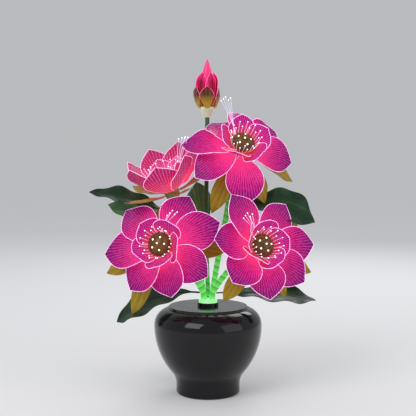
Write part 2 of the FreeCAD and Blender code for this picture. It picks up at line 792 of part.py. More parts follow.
def placed_point(point, frame):
    origin, axis, right, up = frame
    return origin + right * point.x + up * point.y + axis * point.z


def bud():
    frame = flower_frame(bud_place, bud_turn, bud_rise)
    hole = bud_stem_radius + running_gap
    cup = spun([(0, stem_socket), (hole, stem_socket), (hole, 0), (bud_cup_foot, 0),
                (bud_cup_radius, bud_cup_height - bud_cup_lip), (bud_cup_radius, bud_cup_height),
                (0, bud_cup_height)])
    save("bud_cup", placed(cup, frame))
    core = spun([(0, bud_cup_height), (bud_core_foot, bud_cup_height),
                 (bud_core_radius, bud_cup_height + bud_core_height * 0.45),
                 (bud_core_tip, bud_cup_height + bud_core_height), (0, bud_cup_height + bud_core_height)],
                {1: (bud_core_radius * 0.82, bud_cup_height + bud_core_height * 0.2),
                 2: (bud_core_radius * 0.72, bud_cup_height + bud_core_height * 0.75)})
    petals = [petal(frame, 360 * k / bud_petal_count - 60, bud_petal_start, bud_petal_open,
                    bud_petal_length, bud_petal_width, bud_base_width, bud_petal_roll, bud_petal_cup)
              for k in range(bud_petal_count)]
    save("bud_petals", [placed(core, frame)] + petals)
    save("bud_sepals", [petal(frame, 360 * k / bud_sepal_count - 90, bud_sepal_start, bud_sepal_open,
                              bud_sepal_length, bud_sepal_width, bud_base_width, bud_sepal_roll,
                              bud_sepal_cup)
                        for k in range(bud_sepal_count)])
    carriers["bud"] = (stem_points("bud", frame, 0.0, bud_lead), bud_stem_radius)
    save("bud_stem", tube(*carriers["bud"]))


def light_engine():
    """Lid, chassis, motor, wheel and lamp, from the lid down."""
    save("lid", lid())
    save("standoffs", standoffs())
    save("chassis_plate", chassis_plate())
    save("chassis_screws", [screw(*tuple(polar(standoff_circle, angle))[:2], chassis_height,
                                  chassis_thickness + screw_depth) for angle in standoff_angles])
    save("motor", motor())
    save("motor_screws", [screw(x, y, chassis_height, chassis_thickness + ear_thickness + motor_screw_end)
                          for x, y in ear_places()])
    shaft_bottom = chassis_top + motor_height - shaft_depth
    save("motor_shaft", disc(shaft_radius, shaft_bottom, hub_bottom + hub_height + 1 - shaft_bottom,
                             wheel_axis_x))
    save("wheel_hub", wheel_hub())
    save("colour_film", ring(wheel_radius, hub_radius + fit_gap, wheel_height + wheel_thickness,
                             film_thickness, wheel_axis_x))
    save("heat_sink", heat_sink())
    board_level = chassis_top + sink_height
    lamp_level = board_level + led_board_thickness
    save("led_board", disc(led_board_radius, board_level, led_board_thickness).fuse(
        disc(led_radius, lamp_level, led_height)))
    holder = disc(holder_radius, lamp_level, holder_height)
    holder_top = lamp_level + holder_height
    well_radius = holder_radius - holder_wall
    inside = spun([(0, lamp_level - 1), (led_radius + led_gap, lamp_level - 1),
                   (led_radius + led_gap, lamp_level + holder_floor), (well_radius, holder_top - lens_seat),
                   (well_radius, holder_top + 1), (0, holder_top + 1)])
    save("lens_holder", holder.cut(inside))
    lens_rim = well_radius - fit_gap / 2
    lens_top = holder_top - lens_drop
    save("lens", spun([(0, lamp_level + lens_bottom), (lens_foot_radius, lamp_level + lens_bottom),
                       (lens_rim, lens_top - lens_edge), (lens_rim, lens_top),
                       (0, lens_top + lens_dome)]))
    save("driver_board", driver_board())


def bouquet_foot():
    """Ferrule with its flange, and the fibre bundle potted in it."""
    bore = ferrule_radius - ferrule_wall
    save("ferrule", spun([(bore, ferrule_bottom), (ferrule_radius, ferrule_bottom),
                          (ferrule_radius, socket_top), (ferrule_flange, socket_top),
                          (ferrule_flange, stem_start), (bore, stem_start)]))
    save("fibre_bundle", disc(bore - running_gap, ferrule_bottom + fit_gap,
                              stem_start - ferrule_bottom - fit_gap))


carriers = {}
save("felt_pad", disc(felt_radius, 0, felt_thickness))
save("vase", vase())
save("grommet", grommet())
switch_body, switch_nut, button_cap = switch_parts()
save("switch_body", switch_body)
save("switch_nut", switch_nut)
save("button_cap", button_cap)
light_engine()
bouquet_foot()
for flower_name, flower_kind in flowers.items():
    bloom(flower_name, flower_kind)
bud()
for leaf_name, leaf_kind in leaves.items():
    save(leaf_name, leaf(*leaf_kind))
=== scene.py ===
import json
import math
import bpy
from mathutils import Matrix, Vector


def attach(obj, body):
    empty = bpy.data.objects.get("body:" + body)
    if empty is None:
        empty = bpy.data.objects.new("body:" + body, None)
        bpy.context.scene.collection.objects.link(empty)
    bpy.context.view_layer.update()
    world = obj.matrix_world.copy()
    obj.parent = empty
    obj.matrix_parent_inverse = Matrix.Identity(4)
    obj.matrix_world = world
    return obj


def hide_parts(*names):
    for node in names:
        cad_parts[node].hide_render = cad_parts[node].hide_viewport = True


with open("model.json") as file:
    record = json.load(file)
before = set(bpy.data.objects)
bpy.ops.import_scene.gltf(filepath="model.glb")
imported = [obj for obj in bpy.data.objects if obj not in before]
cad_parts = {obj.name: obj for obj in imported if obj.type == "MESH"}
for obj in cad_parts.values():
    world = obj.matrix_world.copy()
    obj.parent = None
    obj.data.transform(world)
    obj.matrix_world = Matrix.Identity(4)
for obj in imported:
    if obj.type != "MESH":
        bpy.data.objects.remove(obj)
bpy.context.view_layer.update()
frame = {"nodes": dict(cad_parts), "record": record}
nodes = frame["nodes"]
mm = 0.001


# small helpers

def deselectAll():
    if bpy.context.object and bpy.context.object.mode != "OBJECT":
        bpy.ops.object.mode_set(mode="OBJECT")
    bpy.ops.object.select_all(action="DESELECT")


def pick(thing):
    deselectAll()
    thing.select_set(True)
    bpy.context.view_layer.objects.active = thing
    return thing


def applyAll(thing):
    pick(thing)
    for modifier in list(thing.modifiers):
        bpy.ops.object.modifier_apply(modifier=modifier.name)
    return thing


def joinAll(things, name):
    pick(things[0])
    for thing in things:
        thing.select_set(True)
    if len(things) > 1:
        bpy.ops.object.join()
    whole = bpy.context.object
    whole.name = name
    whole.data.name = name
    return whole


def settle(thing, body, slot, *replaced):
    pick(thing)
    bpy.ops.object.transform_apply(location=True, rotation=True, scale=True)
    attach(thing, body)
    if replaced:
        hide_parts(*replaced)
    return thing


# shared shader effects

def newGroup(name, inputs, outputs):
    group = bpy.data.node_groups.new(name, "ShaderNodeTree")
    for label, kind, value in inputs:
        socket = group.interface.new_socket(label, in_out="INPUT", socket_type="NodeSocket" + kind)
        if value is not None:
            socket.default_value = value
    for label, kind in outputs:
        group.interface.new_socket(label, in_out="OUTPUT", socket_type="NodeSocket" + kind)
    start = group.nodes.new("NodeGroupInput")
    end = group.nodes.new("NodeGroupOutput")
    return group, start, end


def addNode(tree, kind, settings=None, **values):
    node = tree.nodes.new("ShaderNode" + kind)
    for key, value in (settings or {}).items():
        setattr(node, key, value)
    for key, value in values.items():
        node.inputs[key.replace("_", " ")].default_value = value
    return node


def mathNode(tree, operation, first, second=None):
    node = addNode(tree, "Math", {"operation": operation})
    for index, value in enumerate((first, second)):
        if value is None:
            continue
        if isinstance(value, (int, float)):
            node.inputs[index].default_value = value
        else:
            tree.links.new(value, node.inputs[index])
    return node.outputs[0]


def rampNode(tree, value, low, high, first=0.0, last=1.0):
    node = tree.nodes.new("ShaderNodeMapRange")
    tree.links.new(value, node.inputs["Value"])
    for key, number in (("From Min", low), ("From Max", high), ("To Min", first), ("To Max", last)):
        node.inputs[key].default_value = number
    return node.outputs["Result"]


def mixColours(tree, factor, first, second):
    node = addNode(tree, "Mix", {"data_type": "RGBA"})
    tree.links.new(factor, node.inputs[0])
    for index, value in ((6, first), (7, second)):
        if isinstance(value, (tuple, list)):
            node.inputs[index].default_value = value
        else:
            tree.links.new(value, node.inputs[index])
    return node.outputs[2]


def placeGroup(tree, group, **values):
    # colours come as three numbers
    node = tree.nodes.new("ShaderNodeGroup")
    node.node_tree = group
    for key, value in values.items():
        node.inputs[key].default_value = (*value, 1) if isinstance(value, tuple) else value
    return node


def objectPlace(tree):
    return tree.nodes.new("ShaderNodeTexCoord").outputs["Object"]


def splitPlace(tree, place):
    parts = tree.nodes.new("ShaderNodeSeparateXYZ")
    tree.links.new(place, parts.inputs[0])
    return parts.outputs


mottleSet = {"fine": 9.0, "blotch": (0.38, 0.66), "broadShare": 0.4, "fineShare": 0.6,
             "roughSpread": 0.12, "coatRoughness": 0.08}


def makeMottle():
    # broad and fine blotches of a second colour, with a height for bump
    group, start, end = newGroup(
        "mottle",
        [("Place", "Vector", None), ("Colour", "Color", (1, 1, 1, 1)), ("Other", "Color", (0, 0, 0, 1)),
         ("Scale", "Float", 60.0), ("Strength", "Float", 0.5)],
        [("Colour", "Color"), ("Height", "Float"), ("Mask", "Float")])
    links = group.links
    broad = addNode(group, "TexNoise", Detail=3.0, Roughness=0.6)
    fine = addNode(group, "TexNoise", Detail=2.0, Roughness=0.5)
    for noise in (broad, fine):
        links.new(start.outputs["Place"], noise.inputs["Vector"])
    links.new(start.outputs["Scale"], broad.inputs["Scale"])
    links.new(mathNode(group, "MULTIPLY", start.outputs["Scale"], mottleSet["fine"]), fine.inputs["Scale"])
    blotch = rampNode(group, broad.outputs["Fac"], *mottleSet["blotch"])
    mask = mathNode(group, "MULTIPLY", blotch, start.outputs["Strength"])
    height = mathNode(group, "ADD",
                      mathNode(group, "MULTIPLY", broad.outputs["Fac"], mottleSet["broadShare"]),
                      mathNode(group, "MULTIPLY", fine.outputs["Fac"], mottleSet["fineShare"]))
    blended = mixColours(group, mask, start.outputs["Colour"], start.outputs["Other"])
    links.new(blended, end.inputs["Colour"])
    links.new(height, end.inputs["Height"])
    links.new(blotch, end.inputs["Mask"])
    return group


# each pair says where an effect starts and where it is full: on the wave (line, threadGlint), on the noise
# (dash, glint), off the middle line (heartSides) or along the petal; dim adds its two strengths;
# glint makes painted glints on the pale threads, and dim and hot shape a painted glow, strongest at the
# petal's base
veinSet = {"fanStart": 0.10, "wobbleScale": 7.0, "wobble": 0.035, "line": (0.25, 0.85),
           "threadGlint": (-0.80, -0.98), "dashScale": (46.0, 9.0, 1.0), "dash": (0.40, 0.56),
           "veinStart": (0.12, 0.38), "coatRoughness": 0.2, "bumpDepth": 0.0002,
           "glintScale": (150.0, 34.0, 1.0), "glint": (0.44, 0.60), "glintShare": 0.8,
           "threadGlintStart": (0.10, 0.30), "fade": (0.05, 0.75), "fadeCurve": 1.4,
           "heartSides": (0.44, 0.14), "heartTop": (0.97, 0.72), "dim": (0.95, 0.35, 0.35, 1.0),
           "hot": (0.60, 0.10), "hotShare": 0.85}


def makeVeins():
    # printed veins that fan out from a petal's base, broken into dashes, pale threads between them broken
    # into painted glints, and a painted glow of light, strongest at that base
    group, start, end = newGroup(
        "petalVeins",
        [("Edge", "Vector", None), ("Flat", "Vector", None), ("Base", "Color", (1, 1, 1, 1)),
         ("Tip", "Color", (1, 1, 1, 1)), ("Vein", "Color", (0, 0, 0, 1)), ("Thread", "Color", (1, 1, 1, 1)),
         ("Hot", "Color", (1, 1, 1, 1)), ("Lines", "Float", 60.0), ("Strength", "Float", 0.7),
         ("Spread", "Float", 1.0), ("Heart", "Float", 0.0)],
        [("Colour", "Color"), ("Glow", "Color"), ("Height", "Float")])
    links = group.links

    def times(first, second):
        return mathNode(group, "MULTIPLY", first, second)

    def patches(scale, detail, limits):
        stretch = addNode(group, "Mapping", Scale=scale)
        noise = addNode(group, "TexNoise", Scale=1.0, Detail=detail)
        links.new(start.outputs["Flat"], stretch.inputs["Vector"])
        links.new(stretch.outputs["Vector"], noise.inputs["Vector"])
        return rampNode(group, noise.outputs["Fac"], *limits)

    across, share = splitPlace(group, start.outputs["Edge"])[:2]
    aside, ahead = splitPlace(group, start.outputs["Flat"])[:2]
    wobble = addNode(group, "TexNoise", Scale=veinSet["wobbleScale"], Detail=2.0)
    links.new(start.outputs["Flat"], wobble.inputs["Vector"])
    angle = mathNode(group, "ARCTAN2", mathNode(group, "SUBTRACT", aside, 0.5),
                     mathNode(group, "ADD", ahead, veinSet["fanStart"]))
    angle = mathNode(group, "ADD", angle, times(wobble.outputs["Fac"], veinSet["wobble"]))
    wave = mathNode(group, "SINE", times(angle, start.outputs["Lines"]))

    along = rampNode(group, times(share, start.outputs["Spread"]), *veinSet["fade"])
    along = mathNode(group, "POWER", along, veinSet["fadeCurve"])
    cloth = mixColours(group, along, start.outputs["Base"], start.outputs["Tip"])
    offMiddle = mathNode(group, "ABSOLUTE", mathNode(group, "SUBTRACT", across, 0.5))
    heart = times(rampNode(group, offMiddle, *veinSet["heartSides"]),
                  rampNode(group, share, *veinSet["heartTop"]))
    cloth = mixColours(group, times(heart, start.outputs["Heart"]), cloth, start.outputs["Base"])

    lines = rampNode(group, wave, *veinSet["line"])
    veins = times(lines, patches(veinSet["dashScale"], 2.0, veinSet["dash"]))
    veins = times(times(veins, rampNode(group, share, *veinSet["veinStart"])), start.outputs["Strength"])
    cloth = mixColours(group, veins, cloth, start.outputs["Vein"])
    # pale threads between the veins, broken into painted glints
    threadGlints = times(rampNode(group, wave, *veinSet["threadGlint"]),
                    rampNode(group, share, *veinSet["threadGlintStart"]))
    threadGlints = times(times(threadGlints, patches(veinSet["glintScale"], 1.0, veinSet["glint"])),
                    veinSet["glintShare"])
    cloth = mixColours(group, threadGlints, cloth, start.outputs["Thread"])

    # painted glow of light: full at the petal's base, dimmer towards the tip, with the hot colour at the
    # base
    dimmed = mixColours(group, rampNode(group, share, *veinSet["dim"]), (0, 0, 0, 1), cloth)
    hot = times(rampNode(group, share, *veinSet["hot"]), veinSet["hotShare"])
    links.new(cloth, end.inputs["Colour"])
    links.new(mixColours(group, hot, dimmed, start.outputs["Hot"]), end.inputs["Glow"])
    links.new(lines, end.inputs["Height"])
    return group


mottle = makeMottle()
petalVeins = makeVeins()


def newMaterial(name, **values):
    material = bpy.data.materials.new(name)
    material.use_nodes = True
    tree = material.node_tree
    shader = tree.nodes["Principled BSDF"]
    for key, value in values.items():
        shader.inputs[key.replace("_", " ")].default_value = value
    return material, tree, shader


def bumpFrom(tree, height, shader, strength, distance):
    bump = addNode(tree, "Bump", Strength=strength, Distance=distance)
    tree.links.new(height, bump.inputs["Height"])
    tree.links.new(bump.outputs["Normal"], shader.inputs["Normal"])


def mottled(name, colour, other, scale=80.0, strength=0.5, roughness=0.5, metallic=0.0, bump=0.15,
            depth=0.0003, coat=0.0, sheen=0.0, glow=0.0, shine=0.5):
    material, tree, shader = newMaterial(name, Roughness=roughness, Metallic=metallic, Coat_Weight=coat,
                                         Coat_Roughness=mottleSet["coatRoughness"],
                                         Specular_IOR_Level=shine, Sheen_Weight=sheen)
    group = placeGroup(tree, mottle, Colour=colour, Other=other, Scale=scale, Strength=strength)
    tree.links.new(objectPlace(tree), group.inputs["Place"])
    tree.links.new(group.outputs["Colour"], shader.inputs["Base Color"])
    roughest = min(1.0, roughness + mottleSet["roughSpread"])
    tree.links.new(rampNode(tree, group.outputs["Mask"], 0, 1, roughness, roughest),
                   shader.inputs["Roughness"])
    if glow:
        tree.links.new(group.outputs["Colour"], shader.inputs["Emission Color"])
        shader.inputs["Emission Strength"].default_value = glow
    bumpFrom(tree, group.outputs["Height"], shader, bump, depth)
    return material


# the thread colour paints glints on the cloth; glow and hot paint light on it, strongest at the base
def veined(name, base, tip, vein, threadGlint, lines=64.0, strength=0.75, glow=0.35, roughness=0.45, coat=0.04,
           bump=0.2, spread=1.0, heart=0.0, hot=None, shine=0.12):
    material, tree, shader = newMaterial(name, Roughness=roughness, Emission_Strength=glow,
                                         Coat_Weight=coat, Coat_Roughness=veinSet["coatRoughness"],
                                         Specular_IOR_Level=shine)
    group = placeGroup(tree, petalVeins, Base=base, Tip=tip, Vein=vein, Thread=threadGlint, Hot=hot or base,
                       Lines=lines, Strength=strength, Spread=spread, Heart=heart)
    for mapName, socket in (("UVMap", "Edge"), ("flat", "Flat")):
        place = addNode(tree, "UVMap", {"uv_map": mapName})
        tree.links.new(place.outputs[0], group.inputs[socket])
    tree.links.new(group.outputs["Colour"], shader.inputs["Base Color"])
    tree.links.new(group.outputs["Glow"], shader.inputs["Emission Color"])
    bumpFrom(tree, group.outputs["Height"], shader, bump, veinSet["bumpDepth"])
    return material


# the camera stands where the photo was taken from

cameraView = {"place": (0.0, -1.080, 0.307), "tilt": 3.35, "lens": 71.4}
bpy.ops.object.camera_add(location=cameraView["place"],
                          rotation=(math.radians(90 - cameraView["tilt"]), 0, 0))
camera = bpy.context.object
camera.data.lens = cameraView["lens"]
camera.data.sensor_width = 36.0
bpy.context.scene.camera = camera
print("camera set")


# cloth blades: petals, sepals and leaves all start as a grid

rippleSet = {"height": 0.5, "waves": 17, "skew": 2.1, "shift": 1.7}
rimSteps = 30


def rippleAt(height, share, place, phase):
    return height * math.sin(share * rippleSet["waves"] + phase + rippleSet["skew"] * place)


def blade(name, rowAt, columns, rows, thickness, material, ripple=0.0, phase=0.0):
    deselectAll()
    bpy.ops.mesh.primitive_grid_add(x_subdivisions=columns, y_subdivisions=rows, size=2)
    sheet = bpy.context.object
    sheet.name = name
    mesh = sheet.data
    flatPlaces = {}
    cache = {}
    for vertex in mesh.vertices:
        place, share = vertex.co.x, (vertex.co.y + 1) / 2
        key = round(share, 4)
        if key not in cache:
            cache[key] = rowAt(share)
        middle, side, normal, half, rise, wave, length = cache[key]
        lift = (rise + (wave[0] if place < 0 else wave[1])) * place * place
        lift += rippleAt(ripple * abs(place) ** 3, share, place, phase)
        flatPlaces[vertex.index] = (0.5 + place * half / length, share)
        vertex.co = middle + side * (half * place) + normal * lift
    flat = mesh.uv_layers.new(name="flat")
    for loop in mesh.loops:
        flat.data[loop.index].uv = flatPlaces[loop.vertex_index]
    mesh.uv_layers.active = mesh.uv_layers["UVMap"]
    mesh.materials.append(material)
    solidify = sheet.modifiers.new("thin", "SOLIDIFY")
    solidify.thickness = thickness
    solidify.offset = 0.0
    smooth = sheet.modifiers.new("smooth", "SUBSURF")
    smooth.levels = 1
    smooth.render_levels = 1
    applyAll(sheet)
    bpy.ops.object.shade_smooth()
    return sheet


def rimLine(name, rowAt, radius, material, ripple=0.0, phase=0.0, start=0.02):
    # a wire along both edges of a blade
    points = []
    for place in (-1.0, 1.0):
        edge = []
        for step in range(rimSteps + 1):
            share = start + (1 - start) * step / rimSteps
            middle, side, normal, half, rise, wave, length = rowAt(share)
            lift = rise + (wave[0] if place < 0 else wave[1])
            lift += rippleAt(ripple, share, place, phase)
            edge.append(middle + side * (half * place) + normal * lift)
        points += edge if place < 0 else edge[::-1]
    return wire(name, points, radius, material)


def wire(name, points, radius, material, kind="POLY", sides=1, taper=None, closed=False):
    data = bpy.data.curves.new(name, "CURVE")
    data.dimensions = "3D"
    data.bevel_depth = radius
    data.bevel_resolution = sides
    data.use_fill_caps = True
    spline = data.splines.new(kind)
    spline.points.add(len(points) - 1)
    for index, point in enumerate(points):
        spline.points[index].co = (*point, 1)
        if taper:
            spline.points[index].radius = taper[index]
    spline.use_cyclic_u = closed
    if kind == "NURBS":
        spline.order_u = 3
        spline.use_endpoint_u = True
        spline.resolution_u = 6
    data.materials.append(material)
    thing = bpy.data.objects.new(name, data)
    bpy.context.collection.objects.link(thing)
    pick(thing)
    bpy.ops.object.convert(target="MESH")
    bpy.ops.object.shade_smooth()
    return bpy.context.object


outlineSet = {"widest": 0.58, "swell": 1.15, "fall": 2.2, "tip": 1.2}


def outlineWidth(share, baseWidth, fullWidth):
    widest = outlineSet["widest"]
    if share < widest:
        swell = math.sin(math.pi / 2 * share / widest) ** outlineSet["swell"]
        return baseWidth + (fullWidth - baseWidth) * swell
    fall = ((share - widest) / (1 - widest)) ** outlineSet["fall"]
    return max(fullWidth * (1 - fall), outlineSet["tip"] * mm)


def flowerFrame(middle, turn, rise):
    yaw, pitch = math.radians(turn), math.radians(rise)
    axis = Vector((math.sin(yaw) * math.cos(pitch), -math.cos(yaw) * math.cos(pitch), math.sin(pitch)))
    right = Vector((0, 0, 1)).cross(axis).normalized()
    return Vector(middle) * mm, axis, right, axis.cross(right)


ringSet = {"rollEnd": 0.3, "cupRun": 1.1, "cupStart": 0.05}


def ringRow(flower, ring, angle, opening, stretch):
    # one petal's middle line, sides and cup at any share of its length
    origin, axis, right, up = flower
    turn = math.radians(angle)
    outward = right * math.cos(turn) + up * math.sin(turn)
    around = axis.cross(outward)
    first, last = (math.radians(value) for value in opening)
    length = ring["length"] * stretch * mm

    def rowAt(share):
        slope = first + (last - first) * share
        radius = ring["start"][0] * mm + length * (math.sin(slope) - math.sin(first)) / (last - first)
        height = ring["start"][1] * mm + length * (math.cos(first) - math.cos(slope)) / (last - first)
        middle = origin + outward * radius + axis * height
        normal = axis * math.cos(slope) - outward * math.sin(slope)
        lean = math.radians(ring["roll"] * min(1.0, share / ringSet["rollEnd"]))
        side = around * math.cos(lean) + normal * math.sin(lean)
        face = normal * math.cos(lean) - around * math.sin(lean)
        half = outlineWidth(share, ring["base"] * mm, ring["width"] * mm) / 2
        cupShare = min(1.0, share * ringSet["cupRun"] + ringSet["cupStart"])
        rise = ring["cup"] * half * math.sin(math.pi * cupShare)
        return middle, side, face, half, rise, (0.0, 0.0), length
    return rowAt


outerRing = {"start": (7.4, -0.3), "length": 66, "width": 49, "base": 4.4, "roll": 11, "cup": 0.2}
innerRing = {"start": (5.4, 3.8), "length": 42, "width": 38, "base": 5.2, "roll": 12, "cup": 0.2}
sepalRing = {"start": (10.6, -3.4), "length": 70, "width": 25, "base": 5.4, "roll": 0, "cup": 0.2}

# outer: angle round the flower, extra lift, stretch; sepals: angle, stretch; tuft: angle, reach
flowers = {
    "top_flower": {
        "middle": (42, 0, 319), "turn": 14, "rise": 36, "tuft": (126, (-19, -20, 65)),
        "outerOpen": (14, -32), "innerOpen": (26, 70), "sepalOpen": (-14, -44),
        "outer": ((34, 0, 1.0), (76, 0, 1.0), (119, 0, 0.82), (167, 0, 1.08), (209, -1, 1.02),
                  (268, -3, 1.08), (350, 0, 1.02)),
        "inner": (90, 162, 234, 306, 18),
        "sepals": ((-14, 1.2), (52, 1.0), (155, 0.8), (240, 1.15), (298, 0.95))},
    "left_flower": {
        "middle": (-56, -31, 197), "turn": -17, "rise": 13, "tuft": (98, (11, -20, 43)),
        "outerOpen": (22, -14), "innerOpen": (34, 70), "sepalOpen": (-6, -28),
        "outer": ((23, 0, 1.12), (64, 0, 0.98), (141, 0, 0.97), (190, 0, 1.12), (236, 0, 0.98),
                  (284, 0, 0.92), (329, 0, 1.0)),
        "inner": (62, 134, 206, 278, 350),
        "sepals": ((0, 1.0), (100, 0.75), (150, 0.9), (202, 1.28), (241, 1.35))},
    "right_flower": {
        "middle": (62, -32, 194), "turn": 25, "rise": 18, "tuft": (116, (-12, -20, 43)),
        "outerOpen": (30, 4), "innerOpen": (35, 77), "sepalOpen": (0, -24),
        "outer": ((-2, 0, 1.05), (51, 0, 0.95), (118, 0, 1.08), (170, 0, 0.95), (222, 0, 0.95),
                  (269, 0, 0.98), (315, 0, 1.02)),
        "inner": (80, 152, 224, 296, 8),
        "sepals": ((-20, 1.22), (27, 1.18), (90, 1.0), (232, 1.0), (304, 0.95))},
    "side_flower": {
        "pale": True, "middle": (-49, 14, 267), "turn": -45, "rise": 66, "tuft": (44, (17, -12, 68)),
        "outerOpen": (26, 76), "innerOpen": (28, 94), "sepalOpen": (6, 30),
        "outer": ((0, 0, 1.0), (51, 0, 1.0), (103, 0, 1.0), (154, 0, 1.0), (206, 0, 1.0), (257, 0, 1.0),
                  (309, 0, 1.0)),
        "inner": (80, 152, 224, 296, 8),
        "sepals": ((52, 1.0), (124, 1.0), (196, 0.72), (268, 1.0), (340, 0.8))},
}

clothSet = {"columns": 12, "rows": 24, "thick": 0.45, "rim": 0.34}
stamenSet = {"count": 12, "radius": 0.26, "bead": 0.72, "beadAhead": 0.6,
             "paths": (((5.3, 8.6), (13.0, 13.4), (17.4, 19.5), (20.0, 35.0)),
                       ((5.3, 8.6), (13.0, 13.4), (16.9, 18.4), (18.4, 26.5)))}
# root and knee: distance from the middle, turn from one fibre to the next, height
# uneven: how far each fibre's end lies off the row
tuftSet = {"root": (5.3, 7, 8.7), "knee": (13.2, 6, 13.8), "bend": 0.45, "bow": 4, "fan": 3.2,
           "uneven": (-3.2, 0.0, 3.2, -1.6, 1.6), "radius": 0.24}
seedSet = {"circle": 8.5, "count": 5, "radius": 1.1, "inset": 1.5, "rise": 0.1, "segments": 20, "rings": 12,
           "podTop": 27.5, "podEdge": 17.5, "podRadius": 15.5}

outerCloth = veined("outerCloth", (0.84, 0.008, 0.19), (0.27, 0.003, 0.165), (0.06, 0.001, 0.04),
                    (0.86, 0.16, 0.52), lines=110.0, strength=0.8, glow=0.42, spread=0.85,
                    hot=(1.0, 0.12, 0.42))
innerCloth = veined("innerCloth", (0.60, 0.022, 0.008), (0.56, 0.008, 0.25), (0.12, 0.001, 0.06),
                    (1.0, 0.34, 0.64), lines=90.0, glow=0.46, hot=(0.95, 0.05, 0.02))
paleOuterCloth = veined("paleOuterCloth", (0.90, 0.035, 0.16), (0.52, 0.022, 0.16), (0.26, 0.004, 0.07),
                        (1.0, 0.50, 0.66), lines=90.0, strength=0.6, glow=0.46, hot=(1.0, 0.16, 0.30))
paleInnerCloth = veined("paleInnerCloth", (0.90, 0.10, 0.16), (0.74, 0.07, 0.26), (0.36, 0.012, 0.10),
                        (1.0, 0.66, 0.80), lines=80.0, strength=0.5, glow=0.50, hot=(1.0, 0.22, 0.30))
sepalCloth = veined("sepalCloth", (0.42, 0.05, 0.05), (0.34, 0.22, 0.010), (0.16, 0.11, 0.008),
                    (0.54, 0.42, 0.06), lines=60.0, strength=0.4, glow=0.10, coat=0.25, roughness=0.4,
                    spread=1.8)
lightLine = mottled("lightLine", (1.0, 0.70, 0.97), (0.64, 0.16, 0.62), scale=420.0, strength=0.85,
                    glow=0.75, roughness=0.35, bump=0.02)
lightTip = mottled("lightTip", (0.84, 0.84, 1.0), (0.66, 0.62, 1.0), scale=200.0, glow=1.6, roughness=0.3,
                   bump=0.02)
seedLight = mottled("seedLight", (1.0, 0.95, 0.80), (1.0, 0.85, 0.55), scale=200.0, glow=1.7, roughness=0.3,
                    bump=0.02)
fibreClear = mottled("fibreClear", (0.80, 0.76, 0.95), (0.62, 0.55, 0.90), scale=150.0, glow=0.45,
                     roughness=0.25, coat=0.5, bump=0.03)


def petalRing(name, flower, ring, petals, opening, cloth, slot, rim=True):
    parts = []
    ripple = rippleSet["height"] * mm
    for number, (angle, lift, stretch) in enumerate(petals):
        rowAt = ringRow(flower, ring, angle, (opening[0] + lift, opening[1] + lift), stretch)
        phase = number * rippleSet["shift"]
        parts.append(blade(name, rowAt, clothSet["columns"], clothSet["rows"], clothSet["thick"] * mm,
                           cloth, ripple, phase))
        if rim:
            parts.append(rimLine(name, rowAt, clothSet["rim"] * mm, lightLine, ripple, phase))
    settle(joinAll(parts, name + "_piece"), "bouquet", slot, name)


def flowerPoint(flower, radius, angle, height):
    origin, axis, right, up = flower
    turn = math.radians(angle)
    return origin + (right * math.cos(turn) + up * math.sin(turn)) * (radius * mm) + axis * (height * mm)


def lightFibre(name, points, radius):
    # a clear fibre with a lit bead at its end
    fibre = wire(name, points, radius, fibreClear, "NURBS")
    deselectAll()
    ahead = (points[-1] - points[-2]).normalized() * stamenSet["beadAhead"] * mm
    bpy.ops.mesh.primitive_ico_sphere_add(subdivisions=2, radius=stamenSet["bead"] * mm,
                                          location=points[-1] + ahead)
    bead = bpy.context.object
    bead.data.materials.append(lightTip)
    bpy.ops.object.shade_smooth()
    return [fibre, bead]


def longTuft(name, flower, angle, reach):
    # a few long fibres that lean out between two inner petals
    origin, axis, right, up = flower
    parts = []
    for number, uneven in enumerate(tuftSet["uneven"]):
        step = number - (len(tuftSet["uneven"]) - 1) / 2
        root, knee = [flowerPoint(flower, radius, angle + turn * step, height)
                      for radius, turn, height in (tuftSet["root"], tuftSet["knee"])]
        end = origin + Vector(reach) * mm + right * (tuftSet["fan"] * step * mm) + up * (uneven * mm)
        bend = knee.lerp(end, tuftSet["bend"]) + axis * tuftSet["bow"] * mm
        parts += lightFibre(name, [root, knee, bend, end], tuftSet["radius"] * mm)
    return parts


def podSeeds(flower):
    # lit fibre tips on the pod's dome, one in the middle and the others in a circle
    rise = seedSet["podTop"] - seedSet["podEdge"]
    dome = (seedSet["podRadius"] ** 2 + rise ** 2) / (2 * rise)
    places = [(0.0, 0.0)] + [(seedSet["circle"], 360 * number / seedSet["count"])
                             for number in range(seedSet["count"])]
    seeds = []
    for radius, angle in places:
        height = seedSet["podTop"] - dome + math.sqrt(dome ** 2 - (radius + seedSet["inset"]) ** 2)
        deselectAll()
        bpy.ops.mesh.primitive_uv_sphere_add(
            segments=seedSet["segments"], ring_count=seedSet["rings"], radius=seedSet["radius"] * mm,
            location=flowerPoint(flower, radius, angle, height + seedSet["rise"]))
        seeds.append(bpy.context.object)
        seeds[-1].data.materials.append(seedLight)
        bpy.ops.object.shade_smooth()
    return seeds


def stamens(name, flower, tuft):
    parts = longTuft(name, flower, *tuft)
    for number in range(2 * stamenSet["count"]):
        angle = 180 * (number + 1) / stamenSet["count"]
        path = stamenSet["paths"][number % 2]
        points = [flowerPoint(flower, radius, angle, height) for radius, height in path]
        parts += lightFibre(name, points, stamenSet["radius"] * mm)
    parts += podSeeds(flower)
    settle(joinAll(parts, name + "_stamens_piece"), "bouquet", "fibre", name + "_stamens")


for flowerName, kind in flowers.items():
    place = flowerFrame(kind["middle"], kind["turn"], kind["rise"])
    outside, inside = (paleOuterCloth, paleInnerCloth) if kind.get("pale") else (outerCloth, innerCloth)
    petalRing(flowerName + "_outer_petals", place, outerRing, kind["outer"], kind["outerOpen"], outside,
              "petal_cloth")
    petalRing(flowerName + "_inner_petals", place, innerRing, [(angle, 0, 1.0) for angle in kind["inner"]],
              kind["innerOpen"], inside, "inner_petal_cloth")
    petalRing(flowerName + "_sepals", place, sepalRing,
              [(angle, 0, stretch) for angle, stretch in kind["sepals"]],
              kind["sepalOpen"], sepalCloth, "sepal_cloth", rim=False)
    stamens(flowerName, place, kind["tuft"])
    print(flowerName, "made")


# bud: closed petals and glossy sepals with bright edges, round a pointed heart

